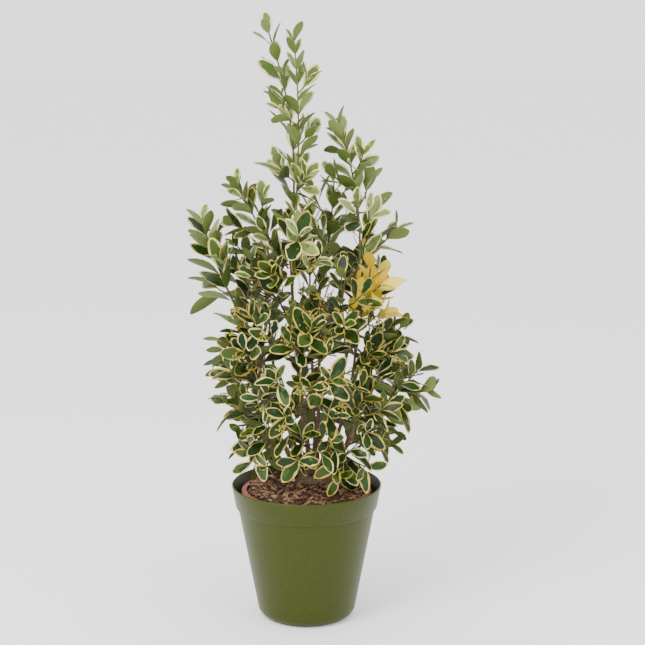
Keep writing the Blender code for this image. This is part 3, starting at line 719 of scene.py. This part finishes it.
def outer_pot():
    rim = POT_HEIGHT - RIM_ROUNDING
    profile = [(0, 0)]
    profile += rounded_foot(BODY_FOOT_RADIUS, FOOT_ROUNDING, floor=0, steps=4)
    profile += [
        (BODY_TOP_RADIUS, COLLAR_FOOT_HEIGHT - COLLAR_STEP),
        (COLLAR_FOOT_RADIUS - COLLAR_EDGE, COLLAR_FOOT_HEIGHT),
        (COLLAR_FOOT_RADIUS, COLLAR_FOOT_HEIGHT + COLLAR_EDGE_HEIGHT),
        (POT_RIM_RADIUS, rim),
        (POT_RIM_RADIUS - POT_WALL / 2, POT_HEIGHT),
        (POT_RIM_RADIUS - POT_WALL, rim),
        (COLLAR_FOOT_RADIUS - POT_WALL, COLLAR_FOOT_HEIGHT + COLLAR_INNER_STEP),
        (BODY_TOP_RADIUS - POT_WALL, COLLAR_FOOT_HEIGHT - COLLAR_STEP),
    ]
    inside = rounded_foot(BODY_FOOT_RADIUS - POT_WALL, FOOT_ROUNDING - POT_WALL, POT_FLOOR, steps=2)
    profile += reversed(inside)
    profile.append((0, POT_FLOOR))
    return turned("pot_shell", profile, POT_SEGMENTS, moulded_green())


def liner_inside(height):
    """Inner radius of the nursery pot's wall at a height: a slanted heel, then a straight wall."""
    floor = POT_FLOOR + GAP
    if height < LINER_HEEL_HEIGHT:
        share = (height - floor) / (LINER_HEEL_HEIGHT - floor)
        return LINER_FOOT_RADIUS + (LINER_HEEL_RADIUS - LINER_FOOT_RADIUS) * share - LINER_WALL
    share = (height - LINER_HEEL_HEIGHT) / (LINER_RIM_HEIGHT - LINER_HEEL_HEIGHT)
    return LINER_HEEL_RADIUS + (LINER_TOP_RADIUS - LINER_HEEL_RADIUS) * share - LINER_WALL


def nursery_pot():
    floor = POT_FLOOR + GAP
    under_rim = LINER_RIM_HEIGHT - LINER_WALL
    profile = [
        (0, floor),
        (LINER_FOOT_RADIUS, floor),
        (LINER_HEEL_RADIUS, LINER_HEEL_HEIGHT),
        (LINER_TOP_RADIUS, under_rim),
        (LINER_RIM_RADIUS - LINER_WALL, under_rim),
        (LINER_RIM_RADIUS - LINER_WALL, LINER_RIM_HEIGHT - LINER_SKIRT),
        (LINER_RIM_RADIUS, LINER_RIM_HEIGHT - LINER_SKIRT),
        (LINER_RIM_RADIUS, LINER_RIM_HEIGHT - LINER_EDGE),
        (LINER_RIM_RADIUS - LINER_EDGE, LINER_RIM_HEIGHT),
        (liner_inside(LINER_RIM_HEIGHT), LINER_RIM_HEIGHT),
        (liner_inside(LINER_HEEL_HEIGHT), LINER_HEEL_HEIGHT),
        (liner_inside(floor + LINER_WALL), floor + LINER_WALL),
        (0, floor + LINER_WALL),
    ]
    return turned("liner_shell", profile, LINER_SEGMENTS, moulded_pink())


def potting_soil():
    floor = POT_FLOOR + LINER_WALL + 2 * GAP
    middle = (SOIL_EDGE + floor) / 2
    profile = [
        (0, floor),
        (liner_inside(floor) - GAP, floor),
        (liner_inside(LINER_HEEL_HEIGHT) - GAP, LINER_HEEL_HEIGHT),
        (liner_inside(middle) - GAP, middle),
        (liner_inside(SOIL_EDGE) - GAP, SOIL_EDGE),
        ((liner_inside(SOIL_EDGE) + SOIL_FLAT_RADIUS) / 2, SOIL_TOP - SOIL_SHOULDER),
        (SOIL_FLAT_RADIUS, SOIL_TOP),
        (0, SOIL_TOP),
    ]
    return turned("soil_mound", profile, LINER_SEGMENTS, soil_finish())


def lump(name, centre, half, height, lobes, finish):
    """Gnarled lump of wood with a flat cut underneath and lobes that flare out at its foot."""
    rng = random.Random(name)
    phase = rng.uniform(0, math.pi)
    points = []
    for level, width in LUMP_RINGS:
        for corner in range(LUMP_CORNERS):
            angle = 2 * math.pi * corner / LUMP_CORNERS
            lobe = 1 + LOBE_DEPTH * (1 - LOBE_FADE * level) * math.cos(lobes * angle + phase)
            lobe += rng.uniform(*LUMP_JITTER)
            points.append(centre + Vector((half[0] * width * lobe * math.cos(angle),
                                           half[1] * width * lobe * math.sin(angle),
                                           height * level)))
    return mesh_object(name, (points, ringed_faces(len(LUMP_RINGS) - 1, LUMP_CORNERS)), [finish])


def leaf_sheets(stance, young, rng):
    """Upper faces of the green middle and of the cream margin, and the back sheet of one leaf."""
    axis, share, out, tilt, length = stance
    _, ahead, up = leaf_frame(axis, share, out, tilt)
    across = up.cross(ahead).normalized()
    root = spot(axis, share)
    half = length * LEAF_WIDTH_SHARE / 2
    cup = rng.uniform(*CUPS)
    curl = rng.uniform(*CURLS)
    wave = rng.uniform(*WAVES)
    points = []
    backs = []
    for place, width in LEAF_ROWS:
        zones = [rng.uniform(*GREEN_ZONE) for _ in (0, 1)]
        if young:
            zones = [zone * YOUNG_ZONE for zone in zones]
        if not LEAF_MIDDLE[0] <= place <= LEAF_MIDDLE[1]:
            zones = [zone * END_ZONE for zone in zones]
        for column in (-1.0, -zones[0], 0.0, zones[1], 1.0):
            side = column * width * half * rng.uniform(*EDGES)
            rise = cup * abs(column) * width * half - curl * length * place ** 2
            rise += wave * length * math.sin(place * WAVE_TURN) * column
            point = root + ahead * (length * place) + across * side + up * rise
            points.append(point)
            backs.append(point - up * SHEET)
    middle = []
    margin = []
    for row in range(len(LEAF_ROWS) - 1):
        for column in range(LEAF_COLUMNS - 1):
            here = row * LEAF_COLUMNS + column
            above = here + LEAF_COLUMNS
            green = column in (1, 2) and row < len(LEAF_ROWS) - 2
            (middle if green else margin).append((here, here + 1, above + 1, above))
    reverse = [tuple(reversed(face)) for face in middle + margin]
    return points, middle, margin, backs, reverse


def bud_spray(piece, axis, share, rng):
    """Thin stalk out of a leaf axil with a few small round flower buds at its end."""
    along = heading(axis, share)
    out = sideways(along, rng.uniform(0, 2 * math.pi))
    ahead = (along + out * STALK_LEAN).normalized()
    foot = spot(axis, share)
    end = foot + ahead * rng.uniform(*STALK_LENGTHS)
    piece.add(*tube(Axis(foot, end, out * STALK_BOW, *STALK_RADII, 2), STALK_SIDES))
    for _ in range(BUDS):
        centre = end + Vector([rng.uniform(*BUD_SPREAD) for _ in range(3)])
        stem = Axis(end, centre, Vector(), BUD_STEM_RADIUS, BUD_STEM_RADIUS, 1)
        piece.add(*tube(stem, BUD_STEM_SIDES))
        piece.add([centre + Vector(corner) * BUD_RADIUS for corner in BALL_CORNERS], BALL_FACES)


def flecked(count, young, rng):
    """Tone of each green face of a leaf: one tone, with flecks of the others."""
    shift = len(GREENS) if young else 0
    main = rng.randrange(len(GREENS))
    tones_here = []
    for _ in range(count):
        fleck = rng.random() < FLECK_SHARE
        tones_here.append(shift + (rng.randrange(len(GREENS)) if fleck else main))
    return tones_here


def fill_room(limbs, stems):
    """Room with every stem and twig in place, and the shoots of each mass that it has room for."""
    room = Room()
    for axis in limbs.values():
        room.add(tube(axis, LIMB_SIDES, extra=CLEAR))
    for name, axis in stems.items():
        room.add(tube(axis, TRIAL_STEM_SIDES, extra=CLEAR), name)
    shoots = {}
    for mass in MASSES:
        spire = mass.tip[2] > SPIRE_HEIGHT
        extra = SPIRE_TWIGS if spire else FINE_TWIGS
        size = mass.leaf * (SPIRE_LEAF if spire else FINE_LEAF)
        fine = mass._replace(twigs=mass.twigs + extra, leaf=size)
        shoots[mass.name] = roomy_twigs(room, fine, plan_shoots(fine, stems[mass.name]))
    room.share_out([(name, shoot[1]) for name, kept in shoots.items() for shoot in kept])
    return room, shoots


def add_leaf(pieces, stance, yellow, rng):
    """The sheets of one leaf, each in the piece of its kind and in a tone for its height."""
    axis, share = stance[:2]
    young = spot(axis, share).z > YOUNG_HEIGHT + rng.uniform(*YOUNG_SWAY)
    points, middle, margin, backs, reverse = leaf_sheets(stance, young, rng)
    if yellow:
        pieces["yellow"].add(points, middle + margin, rng.randrange(len(YELLOWS)))
        pieces["yellow"].add(backs, reverse, rng.randrange(len(YELLOWS)))
        return
    pieces["middles"].add(points, middle, flecked(len(middle), young, rng))
    shift = len(CREAMS) if young else 0
    pieces["margins"].add(points, margin, shift + rng.randrange(len(CREAMS)))
    pieces["backs"].add(backs, reverse, rng.randrange(len(BACKS)))


def grow_foliage(room, shoots, pieces):
    """Twigs, buds and leaves of every mass, each leaf in its mass's own space."""
    rng = random.Random("finish")
    for mass in MASSES:
        for number, (turn, axis, leaves) in enumerate(shoots[mass.name]):
            sides = TWIG_SIDES if number else STEM_SIDES
            pieces["twigs"].add(*tube(axis, sides, turn), rng.randrange(len(TWIG_TONES)))
            if number and mass.name in BUD_MASSES:
                bud_spray(pieces["buds"], axis, rng.uniform(*BUD_PLACES), rng)
            host = (mass.name, number) if number else mass.name
            for leaf in leaves:
                stance = fits(room, mass, host, axis, leaf)
                if stance is not None:
                    add_leaf(pieces, stance, mass.name == YELLOW_MASS, rng)


def scatter_chips(piece):
    """Flat bark chips lying on the soil at any turn."""
    rng = random.Random("chips")
    for _ in range(CHIPS):
        reach = CHIP_REACH * math.sqrt(rng.random())
        angle = rng.uniform(0, 2 * math.pi)
        height = SOIL_TOP - max(0.0, reach - SOIL_FLAT_RADIUS) * SOIL_SLOPE
        half = Vector([rng.uniform(*sizes) for sizes in CHIP_HALVES])
        turn = Matrix.Rotation(rng.uniform(0, math.pi), 3, "Z")
        for side in "YX":
            turn = turn @ Matrix.Rotation(rng.uniform(*CHIP_TILTS), 3, side)
        centre = Vector((reach * math.cos(angle), reach * math.sin(angle), height + CHIP_LIFT))
        points = []
        for x, y, z in product((-1, 1), repeat=3):
            corner = Vector((x * half.x, y * half.y, z * half.z)) * rng.uniform(*CHIP_WEAR)
            points.append(centre + turn @ corner)
        piece.add(points, BOX_FACES, rng.randrange(len(CHIP_TONES)))


def woody_parts(limbs):
    bark = bark_finish()
    for name, axis in limbs.items():
        thing = mesh_object(name + "_bark", tube(axis, LIMB_SIDES), [bark])
        roughen(thing, cuts=2, grain=0.004, amplitude=0.0005)
        dress(thing, [name])
    crown = lump("crown_bark", CROWN_CENTRE, CROWN_HALF, CROWN_HEIGHT, lobes=5, finish=bark)
    roughen(crown, cuts=3, grain=0.006, amplitude=0.0018)
    dress(crown, ["root_crown"])
    stub = lump("stub_wood", STUB_CENTRE, STUB_HALF, STUB_HEIGHT, lobes=3, finish=dead_finish())
    roughen(stub, cuts=2, grain=0.003, amplitude=0.0010)
    dress(stub, ["dead_stub"])


def floor_and_sky():
    bpy.ops.mesh.primitive_plane_add(size=FLOOR_SIZE)
    floor = bpy.context.object
    floor.name = "floor"
    floor.data.materials.append(plain("white_sweep", "#fafafa", roughness=0.9))
    world = bpy.data.worlds.new("white_room")
    bpy.context.scene.world = world
    world.use_nodes = True
    sky = world.node_tree.nodes["Background"].inputs
    sky["Color"].default_value = (1, 1, 1, 1)
    sky["Strength"].default_value = SKY_STRENGTH


def hang_lamps():
    for name, place, size, power in LAMPS:
        lamp = bpy.data.lights.new(name, "AREA")
        lamp.size = size
        lamp.energy = power
        thing = add_object(name, lamp)
        thing.location = place
        aim = LAMP_AIM - Vector(place)
        thing.rotation_euler = aim.to_track_quat("-Z", "Y").to_euler()


def set_camera():
    lens = bpy.data.cameras.new("camera")
    lens.lens = CAMERA_LENS
    lens.sensor_width = CAMERA_SENSOR
    camera = add_object("camera", lens)
    camera.location = CAMERA_PLACE
    camera.rotation_euler = (math.pi / 2 - CAMERA_PITCH, 0, 0)
    bpy.context.scene.camera = camera


def tones(name, colours, roughness):
    return [plain(name + str(number), colour, roughness) for number, colour in enumerate(colours)]


limbs = {limb.name: limb_axis(limb) for limb in LIMBS}
stems = {mass.name: stem_axis(mass, limbs[mass.limb + "_stem"]) for mass in MASSES}
pieces = {
    "middles": Piece("leaf_middles", tones("green_", GREENS + YOUNG_GREENS, roughness=0.42)),
    "margins": Piece("leaf_margins", tones("cream_", CREAMS + YOUNG_CREAMS, roughness=0.45)),
    "backs": Piece("leaf_backs", tones("back_", BACKS, roughness=0.6)),
    "yellow": Piece("yellow_leaves", tones("yellow_", YELLOWS, roughness=0.5)),
    "twigs": Piece("green_twigs", tones("twig_", TWIG_TONES, roughness=0.6)),
    "buds": Piece("flower_buds", tones("bud_", BUD_TONES, roughness=0.55)),
}
room, shoots = fill_room(limbs, stems)
grow_foliage(room, shoots, pieces)
green_masses = [mass.name for mass in MASSES if mass.name != YELLOW_MASS]
for kind in ("middles", "margins", "backs", "twigs", "buds"):
    pieces[kind].finish("leaf_green", green_masses)
pieces["yellow"].finish("leaf_yellow", [YELLOW_MASS])
woody_parts(limbs)
dress(outer_pot(), ["outer_pot"])
dress(nursery_pot(), ["nursery_pot"])
dress(potting_soil(), ["potting_soil"])
chips = Piece("bark_chips", tones("chip_", CHIP_TONES, roughness=0.9))
scatter_chips(chips)
chips.finish("soil", ["potting_soil"], angle=CHIP_SHARP)
floor_and_sky()
hang_lamps()
set_camera()
